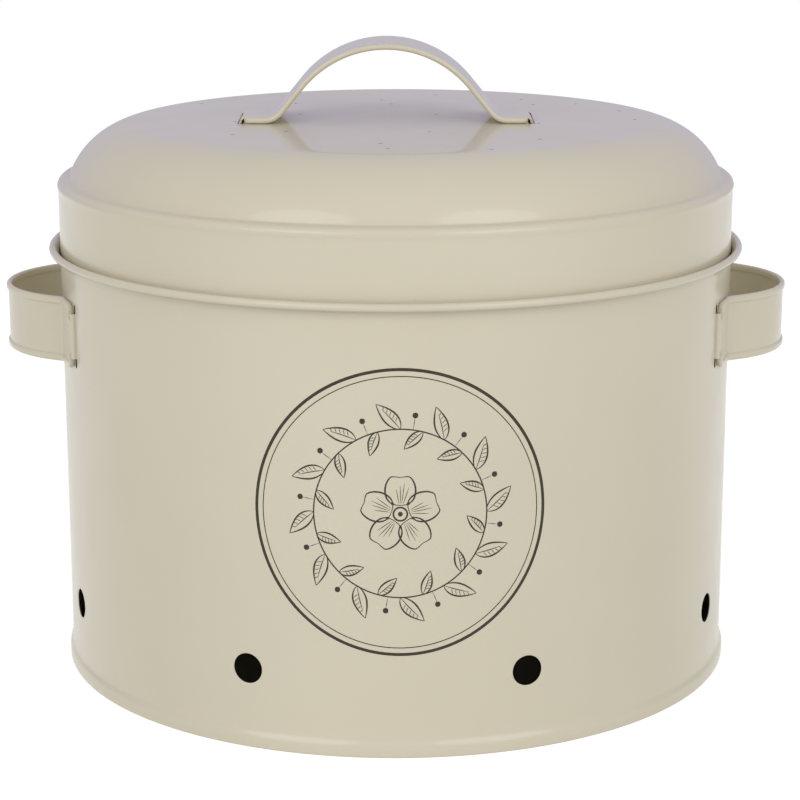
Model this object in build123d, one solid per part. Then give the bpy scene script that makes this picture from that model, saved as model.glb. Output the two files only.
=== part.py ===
"""Round steel storage bin with a lift-off lid, two side handles and a handle on the lid.

Millimetres. +Z is up and Z = 0 is the table. The origin is in the middle under the bin,
the side handles are on -X and +X, and the front of the bin faces -Y.

Every sheet piece is drawn the way it is folded: a line down the middle of the sheet is
followed as straight runs and round bends, and the sheet's two faces lie half a thickness
to each side of it. Round pieces turn that band about the Z axis.
"""
import os
from math import acos, asin, atan2, cos, degrees, hypot, radians, sin, sqrt

from build123d import *

# ---- driving dimensions: the bin ------------------------------------------------------
body_dia = 270.0            # outside of the round wall
body_height = 171.0         # table to the top of the rim bead
sheet = 0.4                 # steel sheet of the wall, the base and the lid
fold_gap = 0.1              # air left between two layers that are folded together
wire_gap = 0.2              # air left between the rim's wire and the sheet curled round it

flare_lean = 40.0           # degrees that the wall leans out under the rim, to take the lid
flare_bend = 9.0            # bend from the upright wall into that lean
rim_bead_dia = 3.0          # outside of the curled rim bead
rim_curl = 285.0            # degrees that the sheet curls on round the wire

base_recess = 4.0           # table to the underside of the base
base_corner = 1.5           # bend at the edge of the base
seam_height = 7.6           # height of the seam at the foot
seam_proud = 1.3            # how far it stands out of the wall
seam_ease = 4.2             # height over which the wall steps out to it
seam_corner = 0.5           # bend along the two lower edges of the seam

side_seam_width = 6.0       # folded seam that closes the rolled wall, at the back
side_seam_proud = 0.45      # how far it stands out of the wall

vent_count = 8
vent_dia = 11.6
vent_height = 30.6          # table to the middle of the vent holes
vent_turn = -1.4            # degrees that the ring of holes is off square to the handles

# ---- driving dimensions: the lid ------------------------------------------------------
skirt_lap = 0.4             # the skirt is this much wider than the wall's inside, per side
skirt_height = 24.2         # straight part of the skirt, above its hem
hem_height = 5.0            # turned-in hem at the bottom of the skirt
seat_gap = 0.3              # between the skirt's hem and the flare that it sits in
shoulder_bead_lean = 14.0   # degrees that the bead at the top of the skirt leans out
shoulder_bead_run = 0.6
shoulder_bead_ease = 4.0    # bend from the skirt into that lean
ledge_corner = 2.4          # bend from the bead on to the ledge
ledge_rise = 6.0            # degrees that the ledge rises towards the middle
ledge_width = 1.8
ledge_hollow = 1.0          # bend from the ledge up into the shoulder
shoulder_angle = 70.0       # slope at the foot of the shoulder, in degrees
shoulder_radius = 31.6      # big round shoulder of the lid
lid_handle_shift = -3.7     # the lid handle sits this far off the middle, along itself

# ---- driving dimensions: the three strap handles ---------------------------------------
strap_sheet = 0.8
strap_hem_width = 3.1       # folded hem along both edges
strap_hem_thick = 2.2
strap_corner = 3.0          # rounding of the foot's corners
strap_gap = 0.1             # between a strap and the sheet that it lies on
tab_inset = 4.0             # each tab is this much narrower than its strap, per side
tab_length = 8.0            # part of the tab that is folded flat behind the sheet
slot_end_room = 3.6         # slot left open at each end of the tab
slot_side_room = 0.7        # slot left open at each face of the tab, which bends in it

side_handle_width = 26.0
side_handle_reach = 23.2    # wall to the outermost face of the strap
side_handle_radius = 41.8   # outer face of its arch
side_handle_leg = 4.0       # straight stretch between the arch and the bend at its foot
side_handle_bend = 4.2      # bend between each leg and its foot
side_handle_foot = 13.0     # length of each foot, from that bend to its slot
side_handle_hem_drop = 0.0  # the hems lie evenly about the strap's own sheet
side_handle_drop = 30.3     # top of the rim bead to the middle of the strap

lid_handle_width = 38.0
lid_handle_rise = 31.2      # lid to the top of the strap
lid_handle_radius = 44.2    # outer face of its arch
lid_handle_leg = 12.8
lid_handle_bend = 7.9
lid_handle_foot = 7.9
lid_handle_hem_drop = (strap_hem_thick - strap_sheet) / 2   # folded under, flush on top

# ---- sizes that follow -----------------------------------------------------------------
layer = sheet + fold_gap                        # step from one folded layer to the next
wall_radius = body_dia / 2 - sheet / 2          # middle of the wall's sheet
wall_inside = body_dia / 2 - sheet
curl_radius = (rim_bead_dia - sheet) / 2        # middle of the curled sheet
bead_height = body_height - rim_bead_dia / 2
flare_start = bead_height + (curl_radius - flare_bend) * sin(radians(flare_lean))
flare_out = flare_bend - (flare_bend - curl_radius) * cos(radians(flare_lean))
bead_radius = wall_radius + flare_out           # middle of the bead
wire_radius = rim_bead_dia / 2 - sheet - wire_gap

seam_radius = wall_radius + seam_proud          # middle of the wall's sheet in the seam
seam_lean = 2 * degrees(atan2(seam_proud, seam_ease))
seam_bend = seam_ease / (2 * sin(radians(seam_lean)))

lid_radius = wall_inside + skirt_lap            # outside of the skirt
hem_radius = layer / 2                          # middle of the hem's fold
hem_face = hem_radius + sheet / 2               # outside of the hem's fold


def hem_seat_height() -> float:
    """Height of the hem's fold centre when its fold stands seat_gap clear of the flare."""
    across = (wall_radius + flare_bend) - (lid_radius - hem_face)
    apart = flare_bend + sheet / 2 + seat_gap + hem_face
    return flare_start + sqrt(apart**2 - across**2)


# ---- folded sheet ----------------------------------------------------------------------
class FoldedSheet:
    """A sheet seen edge on, followed along its middle as runs and bends."""

    def __init__(self, x: float, y: float, heading: float, thickness: float):
        """Start at x, y with a heading in degrees, counted from +X towards +Y."""
        self.x, self.y, self.heading = x, y, heading
        self.half = thickness / 2
        self.middle, self.left, self.right = [], [], []

    def beside(self, distance: float) -> Vector:
        """The point at this distance to the left of the current place."""
        side = radians(self.heading + 90)
        return Vector(self.x + distance * cos(side), self.y + distance * sin(side))

    def run(self, length: float) -> "FoldedSheet":
        """Go straight on."""
        before = [self.beside(offset) for offset in (0, self.half, -self.half)]
        self.x += length * cos(radians(self.heading))
        self.y += length * sin(radians(self.heading))
        after = [self.beside(offset) for offset in (0, self.half, -self.half)]
        for edges, start, end in zip((self.middle, self.left, self.right), before, after):
            edges.append(Line(start, end))
        return self

    def bend(self, radius: float, angle: float) -> "FoldedSheet":
        """Turn by an angle in degrees, to the left where it is above 0."""
        side = 1 if angle > 0 else -1
        centre = self.beside(side * radius)
        first = self.heading - side * 90
        for edges, offset in ((self.middle, 0), (self.left, self.half), (self.right, -self.half)):
            edges.append(CenterArc(centre, radius - side * offset, first, angle))
        self.heading += angle
        out = radians(self.heading - side * 90)
        self.x, self.y = centre.X + radius * cos(out), centre.Y + radius * sin(out)
        return self

    def face(self) -> Face:
        """The band between the sheet's two faces."""
        start = Line(self.left[0] @ 0, self.right[0] @ 0)
        end = Line(self.left[-1] @ 1, self.right[-1] @ 1)
        return Face(Wire([start, *self.left, end, *self.right]))


def turned(sheet_path: FoldedSheet) -> Part:
    """A round piece: the band, drawn as radius and height, turned about the Z axis."""
    return revolve(Plane.XZ * sheet_path.face(), Axis.Z)


# ---- strap handles ---------------------------------------------------------------------
tab_depth = sheet + strap_gap + strap_sheet / 2         # carrier's face to the tab's middle


def sweep_strap(path: FoldedSheet, section: Sketch) -> Part:
    """Carry a section, drawn as width and thickness, along a path in the XY plane."""
    wire = Wire(path.middle)
    start = Plane(origin=wire @ 0, x_dir=(0, 0, 1), z_dir=wire % 0)
    return sweep(start * section, path=wire)


class StrapHandle:
    """A hemmed steel strap in its own frame, X along it, Y out and Z across.

    It is an arch on two straight legs, with a foot and a folded tab at each end. What it
    stands on is y = 0, or a circle of radius surface through the origin that falls away
    below it. Only the half towards -X is followed; the other one mirrors it.
    """

    def __init__(self, width: float, arch_radius: float, reach: float, leg: float, bend: float,
                 foot: float, hem_drop: float, surface: float | None = None):
        """Follow the strap and its tab from the middle of the arch, x = 0 and y = reach.

        The hems' middle lies hem_drop nearer to the carrier than the strap's own sheet.
        """
        self.width, self.hem_drop = width, hem_drop
        self.tab_width = width - 2 * tab_inset
        face = strap_hem_thick / 2 - hem_drop           # sheet's middle to the outermost face
        foot_height = strap_gap + strap_hem_thick / 2 + hem_drop
        arch = arch_radius - face
        arch_centre = reach - arch_radius
        near = hypot(arch + bend, leg)                  # arch's centre to the bend's centre
        leg_swing = degrees(atan2(leg, arch + bend))
        rise = foot_height + bend                       # surface to the bend's centre
        if surface is None:
            lean = degrees(acos((rise - arch_centre) / near)) - leg_swing
            back = lean
        else:
            far, span = surface + rise, surface + arch_centre
            up = (far**2 - near**2 + span**2) / (2 * span)
            along = sqrt(far**2 - up**2)
            lean = degrees(atan2(along, up - span)) - leg_swing
            back = lean - degrees(atan2(along, up))
        strap = FoldedSheet(0, reach - face, 180, strap_sheet)
        strap.bend(arch, lean).run(leg).bend(bend, -back)
        step_radius = (foot_height + tab_depth) / 2     # the two bends from foot to tab
        tab_swing = 0.0
        if surface is None:
            strap.run(foot)
        else:
            foot_radius = surface + foot_height
            strap.bend(foot_radius, degrees(foot / foot_radius))
            tab_swing = degrees(2 * step_radius / surface)
        tab = FoldedSheet(strap.x, strap.y, strap.heading, strap_sheet)
        tab.bend(step_radius, 90 + tab_swing)
        inward = tab.heading
        crossing = degrees(asin((foot_height - step_radius + sheet / 2) / step_radius))
        tab.bend(step_radius, -crossing)
        self.slot = (tab.x, tab.y, inward)              # where it passes the carrier's middle
        tab.bend(step_radius, crossing - 90)
        if surface is None:
            tab.run(tab_length)
        else:
            tab_radius = surface - tab_depth
            tab.bend(tab_radius, degrees(tab_length / tab_radius))
        self.strap, self.tab = strap, tab

    def section(self) -> Sketch:
        """The strap cut across: a flat sheet with a round hem along both edges."""
        across = self.width - strap_hem_width
        section = Rectangle(across, strap_sheet)
        for side in (-1, 1):
            hem = SlotOverall(strap_hem_width, strap_hem_thick)
            section += Pos(side * across / 2, -self.hem_drop) * hem
        return section

    def foot_corners(self) -> Part:
        """What is cut away to round the two corners at the end of a foot."""
        ahead = radians(self.strap.heading)
        tangent, across = Vector(cos(ahead), sin(ahead)), Vector(-sin(ahead), cos(ahead))
        plane = Plane(origin=(self.strap.x, self.strap.y, 0), x_dir=tangent, z_dir=across)
        margin = strap_hem_thick
        corners = Part()
        for side in (-1, 1):
            edge = side * self.width / 2
            inner = edge - side * strap_corner
            square = Pos((margin - strap_corner) / 2, (edge + inner + side * margin) / 2)
            square = square * Rectangle(strap_corner + margin, strap_corner + margin)
            rounding = Pos(-strap_corner, inner) * Circle(strap_corner)
            reach_in = Pos(-strap_corner - margin, inner) * Rectangle(2 * margin, 2 * strap_corner)
            corners += extrude(plane * (square - rounding - reach_in), strap_hem_thick, both=True)
        return corners

    def solid(self) -> Part:
        """The whole strap with both tabs."""
        half = sweep_strap(self.strap, self.section()) - self.foot_corners()
        half += sweep_strap(self.tab, Rectangle(self.tab_width, strap_sheet))
        return half + mirror(half, Plane.YZ)

    def slots(self) -> Part:
        """The two slots that its tabs pass through."""
        x, y, inward = self.slot
        length = self.tab_width + 2 * slot_end_room
        width = strap_sheet + 2 * slot_side_room
        ahead = radians(inward)
        plane = Plane(origin=(x, y, 0), x_dir=(0, 0, 1), z_dir=(cos(ahead), sin(ahead), 0))
        cut = extrude(plane * SlotOverall(length, width), 2 * strap_hem_thick, both=True)
        return cut + mirror(cut, Plane.YZ)


# ---- the bin ---------------------------------------------------------------------------
base_middle = base_recess + sheet / 2                   # middle of the base's sheet


def body_wall() -> Part:
    """The rolled wall: hook round the base's edge, upright wall, flare and curled rim."""
    hook_end = base_middle - base_corner - fold_gap
    path = FoldedSheet(seam_radius - 3 * layer, hook_end, -90, sheet)
    path.run(path.y - sheet / 2 - seam_corner).bend(seam_corner, 90)
    path.run(3 * layer - 2 * seam_corner).bend(seam_corner, 90)
    path.run(seam_height - seam_ease - path.y)
    path.bend(seam_bend, seam_lean).bend(seam_bend, -seam_lean)
    path.run(flare_start - path.y)
    path.bend(flare_bend, -flare_lean).bend(curl_radius, -rim_curl)
    return turned(path)


def side_seam() -> Part:
    """The folded upright seam that closes the rolled wall at the back."""
    low, high = seam_height + fold_gap, flare_start
    inner, outer = wall_radius, body_dia / 2 + side_seam_proud
    strip = Pos((inner + outer) / 2, (low + high) / 2) * Rectangle(outer - inner, high - low)
    arc = degrees(side_seam_width / (body_dia / 2))
    return Rot(0, 0, 90 - arc / 2) * revolve(Plane.XZ * strip, Axis.Z, arc)


def vent_holes() -> Part:
    """The ring of vent holes, as cylinders that point out from the middle."""
    hole = Plane.XZ * Pos(0, vent_height) * Circle(vent_dia / 2)
    drill = extrude(hole, body_dia)
    step = 360 / vent_count
    holes = Part()
    for number in range(vent_count):
        holes += Rot(0, 0, (number + 0.5) * step + vent_turn) * drill
    return holes


def base_panel() -> Part:
    """The base: a recessed disc whose edge is turned down and hemmed inside the wall's hook."""
    path = FoldedSheet(0, base_middle, 0, sheet)
    path.run(seam_radius - 2 * layer - base_corner).bend(base_corner, -90)
    path.run(path.y - sheet - fold_gap - hem_face).bend(hem_radius, 180)
    path.run(seam_height - seam_ease - fold_gap - path.y)
    return turned(path)


def rim_wire() -> Part:
    """The wire ring that the rim is curled round."""
    return Pos(0, 0, bead_height) * Torus(bead_radius, wire_radius)


# ---- the lid ---------------------------------------------------------------------------
def lid_path() -> FoldedSheet:
    """The lid's sheet, from the end of the skirt's hem to the edge of the flat top."""
    hem_centre = hem_seat_height()
    hem_inside = lid_radius - hem_face - hem_radius
    path = FoldedSheet(hem_inside, hem_centre + hem_height, -90, sheet)
    path.run(hem_height).bend(hem_radius, 180)
    path.run(skirt_height)
    path.bend(shoulder_bead_ease, -shoulder_bead_lean).run(shoulder_bead_run)
    path.bend(ledge_corner, 90 + shoulder_bead_lean - ledge_rise).run(ledge_width)
    path.bend(ledge_hollow, -(shoulder_angle - ledge_rise))
    path.bend(shoulder_radius, shoulder_angle)
    return path


lid_sheet = lid_path()
lid_flat = lid_sheet.x
lid_sheet.run(lid_flat)
lid_top = lid_sheet.y + sheet / 2

# ---- the handles in their places -------------------------------------------------------
side_handle = StrapHandle(side_handle_width, side_handle_radius, side_handle_reach,
                          side_handle_leg, side_handle_bend, side_handle_foot,
                          side_handle_hem_drop, body_dia / 2)
lid_handle = StrapHandle(lid_handle_width, lid_handle_radius, lid_handle_rise, lid_handle_leg,
                         lid_handle_bend, lid_handle_foot, lid_handle_hem_drop)

side_height = body_height - side_handle_drop
side_places = {
    name: Plane(origin=(side * body_dia / 2, 0, side_height), x_dir=(0, -side, 0), z_dir=(0, 0, 1))
    for name, side in (("left", -1), ("right", 1))
}
lid_place = Plane(origin=(lid_handle_shift, 0, lid_top), x_dir=(1, 0, 0), z_dir=(0, -1, 0))

wall = body_wall() + side_seam() - vent_holes()
for place in side_places.values():
    wall -= place * side_handle.slots()

nodes = {
    "body_wall": wall,
    "base_panel": base_panel(),
    "rim_wire": rim_wire(),
    "side_handle_left": side_places["left"] * side_handle.solid(),
    "side_handle_right": side_places["right"] * side_handle.solid(),
    "lid_shell": turned(lid_sheet) - lid_place * lid_handle.slots(),
    "lid_handle": lid_place * lid_handle.solid(),
}

os.makedirs("parts", exist_ok=True)
for name, piece in nodes.items():
    piece.label = name
    export_step(piece, f"parts/{name}.step")

whole = Compound(children=list(nodes.values())).bounding_box()
print(f"overall {whole.size.X:.1f} x {whole.size.Y:.1f} x {whole.size.Z:.1f} mm")
print(f"lid hem fold centre {hem_seat_height():.2f}, lid top {lid_top:.2f}, "
      f"flat top radius {lid_flat:.2f}")
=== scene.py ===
"""Looks, stage and camera for a round steel storage bin with a lift-off lid.

The bin is a rolled steel wall, folded under round the edge of its base, with a flared and
curled rim and two strap handles. The lid is one drawn sheet with a hemmed skirt and a strap
handle. Sizes are millimetres, and they turn into metres where a mesh is made. The front
faces -Y, +Z is up and Z = 0 is the table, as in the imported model.
"""

import logging
import math
from collections.abc import Sequence
from dataclasses import dataclass, field
from enum import Enum

import bmesh
import bpy
from mathutils import Matrix, Vector

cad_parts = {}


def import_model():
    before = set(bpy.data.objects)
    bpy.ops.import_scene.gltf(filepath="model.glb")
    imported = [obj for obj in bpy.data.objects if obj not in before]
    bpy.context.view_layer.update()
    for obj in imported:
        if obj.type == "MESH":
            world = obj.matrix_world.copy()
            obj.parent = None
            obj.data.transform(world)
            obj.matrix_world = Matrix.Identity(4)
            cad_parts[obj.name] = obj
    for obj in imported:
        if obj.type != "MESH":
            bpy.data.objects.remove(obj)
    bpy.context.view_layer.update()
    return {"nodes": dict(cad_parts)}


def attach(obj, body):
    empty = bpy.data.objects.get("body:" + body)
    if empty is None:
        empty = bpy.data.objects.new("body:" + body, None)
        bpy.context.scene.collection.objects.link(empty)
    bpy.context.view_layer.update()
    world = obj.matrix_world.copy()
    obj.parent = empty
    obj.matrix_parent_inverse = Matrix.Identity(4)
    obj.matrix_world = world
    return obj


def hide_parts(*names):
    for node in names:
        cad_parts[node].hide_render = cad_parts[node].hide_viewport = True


LOG = logging.getLogger("storage_bin")

MM = 0.001                  # metres in a millimetre
COLUMNS = 384               # upright divisions of a round piece

Point = tuple[float, float]
Colour = tuple[float, float, float, float]
Noise = tuple[float | tuple[float, ...], ...]       # what NodeSheet.noise takes
Socket = bpy.types.NodeSocket


def polar(reach: float, heading: float, start: Point = (0.0, 0.0)) -> Point:
    """Give the point this far from start, in a direction in degrees from +X towards +Y."""
    turn = math.radians(heading)
    return start[0] + reach * math.cos(turn), start[1] + reach * math.sin(turn)


def offset(start: Point, heading: float, ahead: float, aside: float) -> Point:
    """Give the point this far ahead of start and this far to the left of the way there."""
    return polar(aside, heading + 90.0, polar(ahead, heading, start))


# ---- drawing sheet metal -----------------------------------------------------------------
@dataclass(frozen=True)
class Sample:
    """One place on the middle line of a folded sheet."""

    x: float
    y: float
    heading: float          # degrees, counted from +X towards +Y

    def ahead(self, distance: float) -> Point:
        """Give the point this far on."""
        return polar(distance, self.heading, (self.x, self.y))

    def beside(self, distance: float) -> Point:
        """Give the point this far to the left of the middle line."""
        return offset((self.x, self.y), self.heading, 0.0, distance)

    def mirrored(self) -> "Sample":
        """Give the matching place on the other half, followed the other way."""
        return Sample(-self.x, self.y, -self.heading)


class SheetPath:
    """A sheet seen edge on, followed along its middle as runs and bends."""

    FINE_TURN = 15.0        # degrees between two samples of a tight bend
    FINE_STEP = 1.6         # and the longest step along a wide one

    def __init__(self, x: float, y: float, heading: float) -> None:
        """Start a path at x, y with a heading in degrees."""
        self.samples = [Sample(x, y, heading)]

    @property
    def end(self) -> Sample:
        """Give the last place."""
        return self.samples[-1]

    @property
    def last(self) -> int:
        """Give the number of the last sample."""
        return len(self.samples) - 1

    def run(self, length: float, steps: int = 1) -> "SheetPath":
        """Go straight on.

        Args:
            length: How far to go.
            steps: Into how many equal stretches the run is divided.

        Returns:
            The path itself.
        """
        start = self.end
        for step in range(1, steps + 1):
            self.samples.append(Sample(*start.ahead(length * step / steps), start.heading))
        return self

    def bend(self, radius: float, angle: float, stops: Sequence[float] = ()) -> "SheetPath":
        """Turn along an arc.

        Args:
            radius: Radius of the middle line.
            angle: Degrees to turn, to the left where it is above 0.
            stops: Shares of the turn to sample, or none for an even spacing.

        Returns:
            The path itself.
        """
        start = self.end
        side = math.copysign(1.0, angle)
        centre = start.beside(side * radius)
        if not stops:
            arc = abs(math.radians(angle)) * radius
            steps = max(2, math.ceil(abs(angle) / self.FINE_TURN), math.ceil(arc / self.FINE_STEP))
            stops = [step / steps for step in range(1, steps + 1)]
        for stop in stops:
            heading = start.heading + angle * stop
            self.samples.append(Sample(*polar(radius, heading - side * 90.0, centre), heading))
        return self


class MeshDraft:
    """Points and faces of one piece, gathered in millimetres."""

    def __init__(self, name: str) -> None:
        """Start an empty piece with this name."""
        self.name = name
        self.points: list[Vector] = []
        self.faces: list[tuple[int, ...]] = []
        self.finishes: list[int] = []

    def ring(self, places: Sequence[Vector]) -> list[int]:
        """Add points and give their numbers."""
        self.points += places
        return list(range(len(self.points) - len(places), len(self.points)))

    def face(self, corners: Sequence[int], finish: int = 0) -> None:
        """Add a face, leaving out corners that repeat."""
        unique = tuple(dict.fromkeys(corners))
        if len(unique) > 2:
            self.faces.append(unique)
            self.finishes.append(finish)

    def cell(self, first: Sequence[int], second: Sequence[int], here: int, there: int,
             finish: int = 0) -> None:
        """Add the face between places here and there of two rows, or a row and a point."""
        self.face((first[here % len(first)], first[there % len(first)],
                   second[there % len(second)], second[here % len(second)]), finish)

    def bridge(self, first: Sequence[int], second: Sequence[int], closed: bool = True,
               finish: int = 0) -> None:
        """Join two rows of points with faces.

        Args:
            first: One row of point numbers, or a single point.
            second: The other row, or a single point.
            closed: Whether the last points are joined to the first ones.
            finish: Number of the finish that the faces take.
        """
        count = max(len(first), len(second))
        for here in range(count if closed else count - 1):
            self.cell(first, second, here, (here + 1) % count, finish)

    def skin(self, rows: Sequence[Sequence[int]], cut: int = 0) -> None:
        """Join each row to the next one; the faces up to row number cut take finish 1."""
        for number in range(1, len(rows)):
            self.bridge(rows[number - 1], rows[number], finish=int(number == cut))

    def bar(self, rows: Sequence[Sequence[int]]) -> None:
        """Join rows into a bar that is closed at both ends."""
        self.skin(rows)
        self.face(rows[0])
        self.face(rows[-1])

    def make(self, finishes: Sequence[bpy.types.Material], sharp: float = 38.0) -> bpy.types.Object:
        """Turn the draft into an object of the scene.

        Args:
            finishes: Materials in the order of the faces' finish numbers.
            sharp: Edges that fold by more degrees than this are shaded as sharp.

        Returns:
            The new object, at the origin and in metres.
        """
        mesh = bpy.data.meshes.new(self.name)
        mesh.from_pydata([place * MM for place in self.points], [], self.faces)
        for material in finishes:
            mesh.materials.append(material)
        mesh.polygons.foreach_set("material_index", self.finishes)
        work = bmesh.new()
        work.from_mesh(mesh)
        bmesh.ops.recalc_face_normals(work, faces=work.faces)
        for face in work.faces:
            face.smooth = True
        for edge in work.edges:
            edge.smooth = edge.calc_face_angle(math.pi) < math.radians(sharp)
        work.to_mesh(mesh)
        work.free()
        piece = bpy.data.objects.new(self.name, mesh)
        bpy.context.scene.collection.objects.link(piece)
        return piece


@dataclass(frozen=True)
class RoundWall:
    """The upright wall, which is laid flat by unrolling it."""

    radius: float           # outer face

    def flatten(self, place: Vector) -> Point:
        """Give the way round the wall, and the height."""
        return self.radius * math.atan2(place.y, place.x), place.z

    def lift(self, flat: Point, depth: float) -> Vector:
        """Wrap a flat place round the wall again, this deep below its outer face."""
        return Vector((*polar(self.radius - depth, math.degrees(flat[0] / self.radius)), flat[1]))


@dataclass(frozen=True)
class FlatTop:
    """The flat top of the lid, seen from above."""

    height: float           # outer face

    def flatten(self, place: Vector) -> Point:
        """Give the place seen from above."""
        return place.x, place.y

    def lift(self, flat: Point, depth: float) -> Vector:
        """Give the place on the top, or this deep below it."""
        return Vector((*flat, self.height - depth))


@dataclass(frozen=True)
class Opening:
    """A round hole or a slot with round ends, on the sheet laid flat."""

    centre: Point
    radius: float
    spine: Point = (0.0, 0.0)       # from the middle to the centre of one round end

    def edge(self, toward: Point, growth: float) -> Point:
        """Find the point of the edge that faces a given point.

        Args:
            toward: The point that it faces.
            growth: How far outside the real edge the point lies.

        Returns:
            The point on the edge.
        """
        centre, spine = Vector(self.centre), Vector(self.spine)
        length = spine.length_squared
        share = (Vector(toward) - centre).dot(spine) / length if length else 0.0
        foot = centre + spine * max(-1.0, min(1.0, share))
        place = foot + (Vector(toward) - foot).normalized() * (self.radius + growth)
        return place.x, place.y


class TurnedSheet:
    """A sheet path turned about the upright axis into a closed shell with openings."""

    EDGE_ROUND = 0.13                       # rounding that the coat gives a cut edge
    APPROACH = (0.35, 0.65, 0.86, 1.0)      # rings between the cells and an opening's edge
    ROUND_TURNS = (30.0, 60.0, 90.0)
    END_TURNS = (-60.0, -30.0, 0.0, 30.0, 60.0)
    ON_AXIS = 1e-6                          # a smaller radius is a single point

    def __init__(self, draft: MeshDraft, path: SheetPath, sheet: float, first_turn: float) -> None:
        """Lay out the points of both faces of the sheet.

        Args:
            draft: Where the points and faces go.
            path: The sheet as radius and height, with its outer face to the right.
            sheet: Thickness.
            first_turn: Direction of the first upright division, in degrees.
        """
        self.draft, self.path, self.sheet, self.first_turn = draft, path, sheet, first_turn
        self.outer = [self._row(sample.beside(-sheet / 2)) for sample in path.samples]
        self.inner = [self._row(sample.beside(sheet / 2)) for sample in path.samples]
        self.open_cells: set[tuple[int, int]] = set()

    def _row(self, place: Point) -> list[int]:
        """Turn one point of the section into a row round the axis, or one point on it."""
        radius, height = place
        if radius < self.ON_AXIS:
            return self.draft.ring([Vector((0.0, 0.0, height))])
        return self.draft.ring([
            Vector((*polar(radius, self.first_turn + 360.0 * column / COLUMNS), height))
            for column in range(COLUMNS)])

    def cut(self, opening: Opening, face: RoundWall | FlatTop, rows: tuple[int, int],
            turn: float, reach: float) -> None:
        """Cut an opening, with rounded edges, out of a block of cells.

        Args:
            opening: The opening on the sheet laid flat.
            face: How the sheet is laid flat there.
            rows: First and last row of the block.
            turn: Direction of the opening's middle, in degrees.
            reach: Degrees from there to each side of the block.
        """
        low, high = rows
        step = 360.0 / COLUMNS
        first = math.floor((turn - reach - self.first_turn) / step)
        last = math.ceil((turn + reach - self.first_turn) / step)
        self.open_cells.update((row, column % COLUMNS) for row in range(low, high)
                               for column in range(first, last))
        border = [(low, column) for column in range(first, last)]
        border += [(row, last) for row in range(low, high)]
        border += [(high, column) for column in range(last, first, -1)]
        border += [(row, first) for row in range(high, low, -1)]
        outer, inner = ([side[row][column % COLUMNS] for row, column in border]
                        for side in (self.outer, self.inner))
        flat = [face.flatten(self.draft.points[number]) for number in outer]
        soft = self.EDGE_ROUND
        curve = [(soft * (1 - math.sin(angle)), soft * (1 - math.cos(angle)))
                 for angle in map(math.radians, self.ROUND_TURNS)]

        def ring(growth: float, share: float, depth: float) -> list[int]:
            """Add a ring between the block's border and the opening's edge."""
            places = []
            for corner in flat:
                edge = opening.edge(corner, growth)
                between = (corner[0] + (edge[0] - corner[0]) * share,
                           corner[1] + (edge[1] - corner[1]) * share)
                places.append(face.lift(between, depth))
            return self.draft.ring(places)

        rings = [outer]
        rings += [ring(soft, share, 0.0) for share in self.APPROACH]
        rings += [ring(growth, 1.0, depth) for growth, depth in curve]
        cut_wall = len(rings)
        rings += [ring(growth, 1.0, self.sheet - depth) for growth, depth in reversed(curve)]
        rings += [ring(soft, share, self.sheet) for share in reversed(self.APPROACH)]
        self.draft.skin([*rings, inner], cut_wall)

    def _end(self, number: int, way: float) -> None:
        """Round off one end of the sheet.

        Args:
            number: 0 for the start of the path and -1 for its end.
            way: -1 where the sheet ends behind that sample, 1 where it ends ahead.
        """
        rows = [self.outer[number]]
        sample = self.path.samples[number]
        for turn in map(math.radians, self.END_TURNS):
            rows.append(self._row(offset(
                (sample.x, sample.y), sample.heading, way * self.sheet / 2 * math.cos(turn),
                self.sheet / 2 * math.sin(turn))))
        self.draft.skin([*rows, self.inner[number]])

    def close(self) -> None:
        """Add the faces of both sides, around the openings, and the two ends."""
        for rows in (self.outer, self.inner):
            for number in range(1, len(rows)):
                for column in range(COLUMNS):
                    if (number - 1, column) not in self.open_cells:
                        self.draft.cell(rows[number - 1], rows[number], column,
                                        (column + 1) % COLUMNS)
        for number, way in ((0, -1.0), (-1, 1.0)):
            if len(self.outer[number]) > 1:
                self._end(number, way)


# ---- finishes ----------------------------------------------------------------------------
class Slot(Enum):
    """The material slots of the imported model."""

    CREAM_COAT = "cream_coat"
    BARE_WIRE = "bare_wire"
    PRINTED_INK = "printed_ink"


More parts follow.
